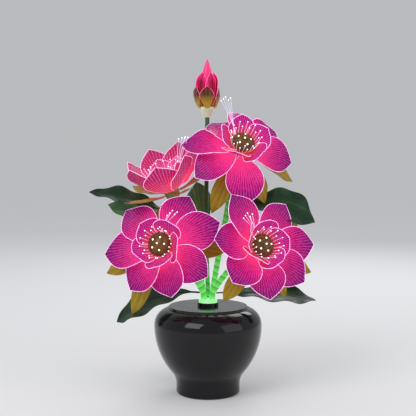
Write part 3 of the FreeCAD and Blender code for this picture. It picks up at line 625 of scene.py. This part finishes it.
budSet = {"middle": (-1, 30, 363.5), "turn": 0, "rise": 88, "count": 5, "columns": 10,
          "heart": ((0.0, 14.2), (3.4, 14.4), (5.6, 21.0), (6.8, 27.0), (8.0, 36.0), (8.3, 43.0),
                    (7.4, 53.0), (5.6, 62.0), (3.2, 70.0), (1.2, 75.5), (0.3, 77.8)),
          "segments": 32, "leastRadius": 0.05}
budPetalRing = {"start": (6.0, 14.6), "length": 47, "width": 18.5, "base": 6, "roll": 14, "cup": 0.42,
                "open": (58, 116), "first": -60, "rows": 22, "thick": 0.45, "rim": 0.3, "rimStart": 0.02}
budSepalRing = {"start": (11.4, 12.0), "length": 30, "width": 19, "base": 6, "roll": 9, "cup": 0.35,
                "open": (54, 112), "first": -90, "rows": 18, "thick": 0.6, "rim": 0.26, "rimStart": 0.45}
budCloth = veined("budCloth", (0.22, 0.001, 0.006), (0.84, 0.012, 0.18), (0.08, 0.001, 0.006),
                  (0.80, 0.04, 0.24), lines=44.0, strength=0.4, glow=0.36, roughness=0.35, spread=2.5,
                  heart=0.95)
# gold at the base, dark brown at the tip: the sepals' own golden brown, with a painted highlight at the
# base
budSepalCloth = veined("budSepalCloth", (0.46, 0.30, 0.015), (0.10, 0.022, 0.003), (0.05, 0.012, 0.003),
                       (0.30, 0.17, 0.02), lines=30.0, strength=0.3, glow=0.10, coat=0.2, roughness=0.22,
                       spread=1.2, shine=0.25)
heartCloth = mottled("heartCloth", (0.86, 0.02, 0.20), (0.60, 0.008, 0.10), scale=60.0, glow=0.40,
                     bump=0.2, coat=0.3)
budLine = mottled("budLine", (0.98, 0.16, 0.42), (0.90, 0.08, 0.30), scale=300.0, glow=0.6, roughness=0.35,
                  bump=0.02)


def lathe(name, profile, flower, material):
    # a solid of revolution on a flower's axis
    deselectAll()
    profile = [(max(radius, budSet["leastRadius"]), height) for radius, height in profile]
    bpy.ops.mesh.primitive_circle_add(vertices=budSet["segments"], radius=profile[0][0] * mm,
                                      fill_type="NGON")
    shape = bpy.context.object
    shape.name = name
    bpy.ops.object.mode_set(mode="EDIT")
    bpy.ops.transform.translate(value=(0, 0, profile[0][1] * mm))
    for (lastRadius, lastHeight), (radius, height) in zip(profile, profile[1:]):
        climb = (height - lastHeight) * mm
        bpy.ops.mesh.extrude_region_move(TRANSFORM_OT_translate={"value": (0, 0, climb)})
        grow = radius / lastRadius
        bpy.ops.transform.resize(value=(grow, grow, 1), center_override=(0, 0, height * mm))
    bpy.ops.mesh.select_all(action="SELECT")
    bpy.ops.mesh.normals_make_consistent(inside=False)
    bpy.ops.object.mode_set(mode="OBJECT")
    origin, axis, right, up = flower
    for vertex in shape.data.vertices:
        point = vertex.co
        vertex.co = origin + right * point.x + up * point.y + axis * point.z
    shape.data.materials.append(material)
    bpy.ops.object.shade_smooth()
    return shape


def budBlades(name, ring, cloth):
    # one ring of blades and their bright edges
    parts = []
    for number in range(budSet["count"]):
        angle = 360 / budSet["count"] * number + ring["first"]
        rowAt = ringRow(budPlace, ring, angle, ring["open"], 1.0)
        parts.append(blade(name, rowAt, budSet["columns"], ring["rows"], ring["thick"] * mm, cloth))
        parts.append(rimLine(name, rowAt, ring["rim"] * mm, budLine, start=ring["rimStart"]))
    return parts


budPlace = flowerFrame(budSet["middle"], budSet["turn"], budSet["rise"])
budParts = [lathe("bud_heart", budSet["heart"], budPlace, heartCloth)]
budParts += budBlades("bud_petal", budPetalRing, budCloth)
settle(joinAll(budParts, "bud_petals_piece"), "bouquet", "bud_petal_cloth", "bud_petals")
budSepals = budBlades("bud_sepal", budSepalRing, budSepalCloth)
settle(joinAll(budSepals, "bud_sepals_piece"), "bouquet", "bud_sepal_cloth", "bud_sepals")
print("bud made")


# leaves: wavy glossy blades, each on its own stalk

leafSet = {
    "left_high_leaf": {"base": (-41.1, 25.12, 227.04), "tip": (-158, 16, 264), "facing": (0.1, -0.55, 0.85),
                       "width": 34, "bulge": 10, "waves": 3},
    "left_back_leaf": {"base": (-31.24, 21.62, 201.13), "tip": (-136, 42, 246), "facing": (-0.1, -0.6, 0.8),
                       "width": 36, "bulge": 8, "waves": 2},
    "right_high_leaf": {"base": (31.45, 30.11, 244.7), "tip": (142, 14, 224), "facing": (0.2, -0.8, 0.6),
                        "width": 52, "bulge": 24, "waves": 3},
    "left_low_leaf": {"base": (-10.81, -3.35, 132.52), "tip": (-122, 14, 90), "facing": (-0.15, -0.5, 0.85),
                      "width": 58, "bulge": 17, "waves": 3},
    "right_low_leaf": {"base": (10.79, -4.05, 132.08), "tip": (142, -2, 122), "facing": (0.1, -0.4, 0.9),
                       "width": 44, "bulge": 5, "waves": 3},
    "middle_back_leaf": {"base": (-4.1, 28.76, 205.98), "tip": (-16, 68, 276), "facing": (-0.1, -0.95, 0.3),
                         "width": 34, "bulge": 3, "waves": 2},
}
leafForm = {"columns": 16, "rows": 40, "thick": 0.6, "stalkShare": 0.1, "stalkWidth": 3.0, "cup": 0.16,
            "swing": 2.5, "fullSwingAt": 10, "lag": 1.9, "rib": 0.7, "ribRise": 0.2, "ribSteps": 24,
            "ribTaper": (1.3, 0.9)}
# the back leaves take a paler copy of the leaf finish: painted light falling on them
litLeaves = ("left_back_leaf", "middle_back_leaf")
leafCloth = veined("leafCloth", (0.020, 0.075, 0.020), (0.008, 0.034, 0.012), (0.004, 0.020, 0.006),
                   (0.04, 0.10, 0.03), lines=26.0, strength=0.5, glow=0.02, coat=0.05, roughness=0.36,
                   bump=0.4, shine=0.2)
litLeafCloth = veined("litLeafCloth", (0.14, 0.36, 0.10), (0.05, 0.18, 0.05), (0.02, 0.09, 0.02),
                       (0.24, 0.46, 0.16), lines=26.0, strength=0.5, glow=0.05, coat=0.15, roughness=0.35,
                       bump=0.4, shine=0.35)


def leafRow(shape):
    start, tip = Vector(shape["base"]) * mm, Vector(shape["tip"]) * mm
    facing = Vector(shape["facing"])
    run, bulge = tip - start, shape["bulge"] * mm
    length = run.length

    def rowAt(share):
        middle = start + run * share + facing * (4 * bulge * share * (1 - share))
        slope = (run + facing * (4 * bulge * (1 - 2 * share))).normalized()
        side = slope.cross(facing).normalized()
        normal = side.cross(slope)
        if normal.dot(facing) < 0:
            normal, side = -normal, -side
        bodyShare = max(0.0, (share - leafForm["stalkShare"]) / (1 - leafForm["stalkShare"]))
        half = outlineWidth(bodyShare, leafForm["stalkWidth"] * mm, shape["width"] * mm) / 2
        phase = 2 * math.pi * shape["waves"] * bodyShare
        swing = leafForm["swing"] * mm * min(1.0, half / (leafForm["fullSwingAt"] * mm))
        wave = (swing * math.sin(phase), swing * math.sin(phase + leafForm["lag"]))
        return middle, side, normal, half, leafForm["cup"] * half, wave, length
    return rowAt


def leafRib(name, rowAt, cloth):
    # the leaf's middle rib, thinner towards the tip
    steps, (thickest, loss) = leafForm["ribSteps"], leafForm["ribTaper"]
    rows = [rowAt(step / steps) for step in range(steps + 1)]
    points = [row[0] + row[2] * leafForm["ribRise"] * mm for row in rows]
    rib = wire(name, points, leafForm["rib"] * mm, cloth, sides=2,
               taper=[thickest - loss * step / steps for step in range(steps + 1)])
    for mapName in ("UVMap", "flat"):
        if mapName not in rib.data.uv_layers:
            rib.data.uv_layers.new(name=mapName)
    return rib


for leafName, shape in leafSet.items():
    # back leaves get the paler copy with painted light
    cloth = litLeafCloth if leafName in litLeaves else leafCloth
    rowAt = leafRow(shape)
    sheet = blade(leafName, rowAt, leafForm["columns"], leafForm["rows"], leafForm["thick"] * mm, cloth)
    settle(joinAll([sheet, leafRib(leafName, rowAt, cloth)], leafName + "_piece"), "bouquet", "leaf_cloth",
           leafName)
print("leaves made")


# finishes of the pieces that keep the shape they come with

tapeSet = {"pitch": 9.0, "ridge": 0.34, "longest": 13.6, "start": 118, "end": 360, "seam": 0.16,
           "seamDark": 0.55, "seamShare": 0.4, "seamGlow": 0.30, "lapGlow": (0.15, 1.0, 1.0, 0.40),
           "roughness": 0.42, "coat": 0.15, "mottle": 110.0, "bump": 0.6, "bumpDepth": 0.0006,
           "leastCuts": 8, "cutDigits": 5,
           "slants": {"top_flower_stem": 0.45, "right_flower_stem": 0.45, "left_flower_stem": -0.45,
                      "side_flower_stem": -0.45, "bud_stem": 0.45}}
litTape = {"colour": (0.09, 0.38, 0.06), "other": (0.03, 0.18, 0.02), "lit": (0.18, 1.0, 0.16), "glow": 0.8}
darkTape = {"colour": (0.03, 0.14, 0.03), "other": (0.015, 0.075, 0.015), "lit": (0.12, 0.75, 0.14),
            "glow": 0.6, "fade": (0.13, 0.20)}


def woundTape(name, colour, other, lit, glow, fade=(0.12, 0.30), slope=0.45):
    # slanted turns of tape, each darker towards its lap, lit from below
    material, tree, shader = newMaterial(name, Roughness=tapeSet["roughness"], Emission_Strength=glow,
                                         Coat_Weight=tapeSet["coat"])
    place = objectPlace(tree)
    axes = splitPlace(tree, place)
    slant = mathNode(tree, "ADD", axes[2], mathNode(tree, "MULTIPLY", axes[0], slope))
    turns = mathNode(tree, "FRACT", mathNode(tree, "DIVIDE", slant, tapeSet["pitch"] * mm))
    seam = rampNode(tree, turns, 0.0, tapeSet["seam"], 1.0, 0.0)
    group = placeGroup(tree, mottle, Colour=colour, Other=other, Scale=tapeSet["mottle"], Strength=0.5)
    tree.links.new(place, group.inputs["Place"])
    taped = mixColours(tree, mathNode(tree, "MULTIPLY", seam, tapeSet["seamDark"]), group.outputs["Colour"],
                       (*(value * tapeSet["seamShare"] for value in other), 1))
    tree.links.new(taped, shader.inputs["Base Color"])
    low = rampNode(tree, axes[2], *fade, 1.0, 0.0)
    shade = mathNode(tree, "MULTIPLY", rampNode(tree, seam, 0.0, 1.0, 1.0, tapeSet["seamGlow"]),
                     rampNode(tree, turns, *tapeSet["lapGlow"]))
    glowing = mixColours(tree, mathNode(tree, "MULTIPLY", low, shade), (0.0, 0.0, 0.0, 1.0), (*lit, 1))
    tree.links.new(glowing, shader.inputs["Emission Color"])
    bumpFrom(tree, seam, shader, tapeSet["bump"], tapeSet["bumpDepth"])
    return material


finishes = {
    "black_glaze": mottled("blackGlaze", (0.004, 0.004, 0.005), (0.008, 0.008, 0.009), scale=26.0,
                           roughness=0.06, coat=0.10, bump=0.03, depth=0.0004, shine=0.3),
    "felt": mottled("feltPad", (0.03, 0.03, 0.035), (0.06, 0.06, 0.065), scale=420.0, roughness=0.9,
                    bump=0.6, sheen=0.6),
    "black_plastic": mottled("blackPlastic", (0.005, 0.005, 0.006), (0.010, 0.010, 0.011), scale=60.0,
                             roughness=0.12, coat=0.1, bump=0.04, shine=0.35),
    "rubber": mottled("softRubber", (0.025, 0.025, 0.027), (0.05, 0.05, 0.05), scale=160.0, roughness=0.62,
                      bump=0.25),
    "nickel": mottled("nickelNut", (0.66, 0.64, 0.60), (0.50, 0.48, 0.45), scale=150.0, roughness=0.18,
                      metallic=1.0, bump=0.05),
    "red_button": mottled("redButton", (0.36, 0.015, 0.015), (0.24, 0.01, 0.01), scale=120.0, roughness=0.2,
                          coat=0.5, bump=0.04),
    "steel": mottled("zincSteel", (0.58, 0.59, 0.60), (0.46, 0.47, 0.50), scale=70.0, roughness=0.3,
                     metallic=1.0, bump=0.08),
    "motor_steel": mottled("motorCan", (0.46, 0.46, 0.48), (0.36, 0.36, 0.38), scale=90.0, roughness=0.34,
                           metallic=1.0, bump=0.08),
    "white_plastic": mottled("whitePlastic", (0.72, 0.72, 0.70), (0.62, 0.62, 0.60), scale=90.0,
                             roughness=0.45, bump=0.06),
    "aluminium": mottled("castAluminium", (0.62, 0.62, 0.64), (0.50, 0.50, 0.52), scale=80.0,
                         roughness=0.38, metallic=1.0, bump=0.1),
    "lamp_board": mottled("lampBoard", (0.76, 0.76, 0.70), (0.66, 0.66, 0.60), scale=140.0, roughness=0.4,
                          bump=0.05, glow=0.3),
    "circuit_board": mottled("circuitBoard", (0.02, 0.16, 0.06), (0.05, 0.26, 0.10), scale=190.0,
                             roughness=0.35, coat=0.4, bump=0.1),
    "lit_ferrule": mottled("litFerrule", (0.30, 0.86, 0.34), (0.50, 1.0, 0.54), scale=90.0, roughness=0.3,
                           glow=0.8, bump=0.04),
    "fibre": mottled("fibreEnds", (0.62, 1.0, 0.70), (0.30, 0.75, 0.38), scale=900.0, strength=0.8,
                     roughness=0.25, glow=0.8, bump=0.2),
    "calyx": mottled("calyxWax", (0.26, 0.34, 0.06), (0.16, 0.24, 0.04), scale=120.0, roughness=0.4,
                     coat=0.3, glow=0.05, bump=0.15),
    "pod_foam": mottled("podFoam", (0.17, 0.060, 0.006), (0.05, 0.030, 0.004), scale=200.0, strength=0.9,
                        roughness=0.5, coat=0.3, glow=0.16, bump=0.5, depth=0.0005, shine=0.25),
    "bud_cup": mottled("budCup", (0.66, 0.74, 0.52), (0.42, 0.56, 0.30), scale=90.0, roughness=0.2,
                       coat=0.6, glow=0.12, bump=0.05),
    "lit_stem": woundTape("litStem", **litTape),
    "dark_stem": woundTape("darkStem", **darkTape),
}
leftTape = woundTape("litStemLeft", slope=-0.45, **litTape)


# the film's coloured sectors

filmSet = {"middle": (-19.0, 0.0, 0.0), "roughness": 0.12, "coat": 0.5, "clear": 0.3,
           "colours": ((0.80, 0.02, 0.03), (0.85, 0.03, 0.42), (0.10, 0.06, 0.75), (0.02, 0.55, 0.70),
                       (0.04, 0.62, 0.10), (0.85, 0.60, 0.03))}
sectorFilm, filmTree, filmShader = newMaterial("sectorFilm", Roughness=filmSet["roughness"],
                                               Coat_Weight=filmSet["coat"],
                                               Transmission_Weight=filmSet["clear"])
filmShift = addNode(filmTree, "Mapping", Location=[-value * mm for value in filmSet["middle"]])
filmTree.links.new(objectPlace(filmTree), filmShift.inputs["Vector"])
across, deep = splitPlace(filmTree, filmShift.outputs["Vector"])[:2]
filmAngle = mathNode(filmTree, "ARCTAN2", deep, across)
filmRamp = filmTree.nodes.new("ShaderNodeValToRGB")
sectors = filmRamp.color_ramp
sectors.interpolation = "CONSTANT"
for number, colour in enumerate(filmSet["colours"]):
    sector = sectors.elements.new(number / len(filmSet["colours"])) if number else sectors.elements[0]
    sector.color = (*colour, 1)
sectors.elements[-1].color = (*filmSet["colours"][-1], 1)
filmTree.links.new(rampNode(filmTree, filmAngle, -math.pi, math.pi), filmRamp.inputs[0])
filmTree.links.new(filmRamp.outputs["Color"], filmShader.inputs["Base Color"])
finishes["colour_film"] = sectorFilm


# dark parts above the circuit board's sheet and pale spacers below it

boardSet = {"bottom": 63.5, "top": 65.1, "past": 0.05, "parts": (0.018, 0.018, 0.020),
            "spacers": (0.70, 0.70, 0.66)}
boardTree = finishes["circuit_board"].node_tree
boardShader = boardTree.nodes["Principled BSDF"]
boardHeight = splitPlace(boardTree, objectPlace(boardTree))[2]
boardColour = boardShader.inputs["Base Color"].links[0].from_socket
for level, way, colour in (("top", 1, boardSet["parts"]), ("bottom", -1, boardSet["spacers"])):
    past = way * boardSet["past"]
    edge = (boardSet[level] + past) * mm
    beyond = rampNode(boardTree, boardHeight, edge, edge + past * mm)
    boardColour = mixColours(boardTree, beyond, boardColour, (*colour, 1))
boardTree.links.new(boardColour, boardShader.inputs["Base Color"])


# the clear lens over the lamp

lensSet = {"colour": (0.92, 0.96, 1.0, 1), "roughness": 0.05, "waves": 260.0, "bump": 0.05,
           "bumpDepth": 0.0001}
clearLens, lensTree, lensShader = newMaterial("clearLens", Roughness=lensSet["roughness"],
                                              Base_Color=lensSet["colour"], Transmission_Weight=1.0)
lensNoise = addNode(lensTree, "TexNoise", Scale=lensSet["waves"], Detail=2.0)
lensTree.links.new(objectPlace(lensTree), lensNoise.inputs["Vector"])
bumpFrom(lensTree, lensNoise.outputs["Fac"], lensShader, lensSet["bump"], lensSet["bumpDepth"])
finishes["clear_lens"] = clearLens

for part in frame["record"]["subparts"]:
    if part["material_slot"] not in finishes:
        continue
    leansLeft = tapeSet["slants"].get(part["node"], 0) < 0
    thing = nodes[part["node"]]
    thing.data.materials.clear()
    thing.data.materials.append(leftTape if leansLeft else finishes[part["material_slot"]])
print("finishes set")


# raised edges where the tape is wound round the stems

def tapeEdge(stem, height, slope):
    # the closed line in which a slanted plane cuts the stem
    places = [vertex.co for vertex in stem.data.vertices]
    level = [point.z + slope * point.x - height for point in places]
    cut = {}
    for first, last in (edge.vertices for edge in stem.data.edges):
        if level[first] * level[last] < 0:
            point = places[first].lerp(places[last], level[first] / (level[first] - level[last]))
            cut[tuple(round(value, tapeSet["cutDigits"]) for value in point)] = point
    if len(cut) < tapeSet["leastCuts"]:
        return []
    points = list(cut.values())
    middle = Vector([(min(axis) + max(axis)) / 2 for axis in zip(*points)])
    return sorted(points, key=lambda point: math.atan2(point.y - middle.y, point.x - middle.x))


for stemName, slope in tapeSet["slants"].items():
    stem = nodes[stemName]
    slot = "dark_stem" if stemName == "bud_stem" else "lit_stem"
    ridges = []
    for turn in range(int(tapeSet["start"] / tapeSet["pitch"]), int(tapeSet["end"] / tapeSet["pitch"])):
        points = tapeEdge(stem, turn * tapeSet["pitch"] * mm, slope)
        if points and max((a - b).length for a in points for b in points) < tapeSet["longest"] * mm:
            ridges.append(wire(stemName, points, tapeSet["ridge"] * mm, stem.data.materials[0],
                               closed=True))
    settle(joinAll(ridges, stemName + "_tape"), "bouquet", slot)
print("stems taped")


# floor, light and world

roomSet = {"size": 120, "colour": (0.84, 0.84, 0.845), "other": (0.82, 0.82, 0.825),
           "light": (0.58, 0.59, 0.61), "backdropShare": 0.835}
deselectAll()
bpy.ops.mesh.primitive_plane_add(size=roomSet["size"])
floor = pick(bpy.context.object)
floor.name = "floor"
paleFloor = mottled("paleFloor", roomSet["colour"], roomSet["other"], scale=1.5, roughness=0.8, bump=0.02,
                    shine=0.0)
floor.data.materials.append(paleFloor)

lamps = {
    "key": {"place": (-0.9, -1.2, 1.5), "size": 1.1, "power": 13, "aim": (0, 0, 0.22)},
    "fill": {"place": (1.3, -0.9, 0.8), "size": 1.3, "power": 5, "aim": (0, 0, 0.2)},
    "back": {"place": (0.4, 1.3, 1.2), "size": 0.9, "power": 6, "aim": (0, 0, 0.3)},
}
for lampName, lamp in lamps.items():
    deselectAll()
    aim = Vector(lamp["aim"]) - Vector(lamp["place"])
    bpy.ops.object.light_add(type="AREA", location=lamp["place"],
                             rotation=aim.to_track_quat("-Z", "Y").to_euler())
    light = bpy.context.object
    light.name = lampName
    light.data.size = lamp["size"]
    light.data.energy = lamp["power"]

world = bpy.data.worlds.new("studio")
bpy.context.scene.world = world
world.use_nodes = True
worldTree = world.node_tree
room = worldTree.nodes["Background"]
room.inputs["Color"].default_value = (*roomSet["light"], 1)
backdrop = worldTree.nodes.new("ShaderNodeBackground")
dimmed = [value * roomSet["backdropShare"] for value in roomSet["light"]]
backdrop.inputs["Color"].default_value = (*dimmed, 1)
rays = worldTree.nodes.new("ShaderNodeLightPath")
seen = mathNode(worldTree, "MAXIMUM", rays.outputs["Is Camera Ray"], rays.outputs["Is Glossy Ray"])
seen = mathNode(worldTree, "MAXIMUM", seen, rays.outputs["Is Transmission Ray"])
blend = worldTree.nodes.new("ShaderNodeMixShader")
worldTree.links.new(seen, blend.inputs[0])
worldTree.links.new(room.outputs[0], blend.inputs[1])
worldTree.links.new(backdrop.outputs[0], blend.inputs[2])
worldTree.links.new(blend.outputs[0], worldTree.nodes["World Output"].inputs["Surface"])
bpy.context.scene.view_settings.view_transform = "Standard"
print("floor and light set")
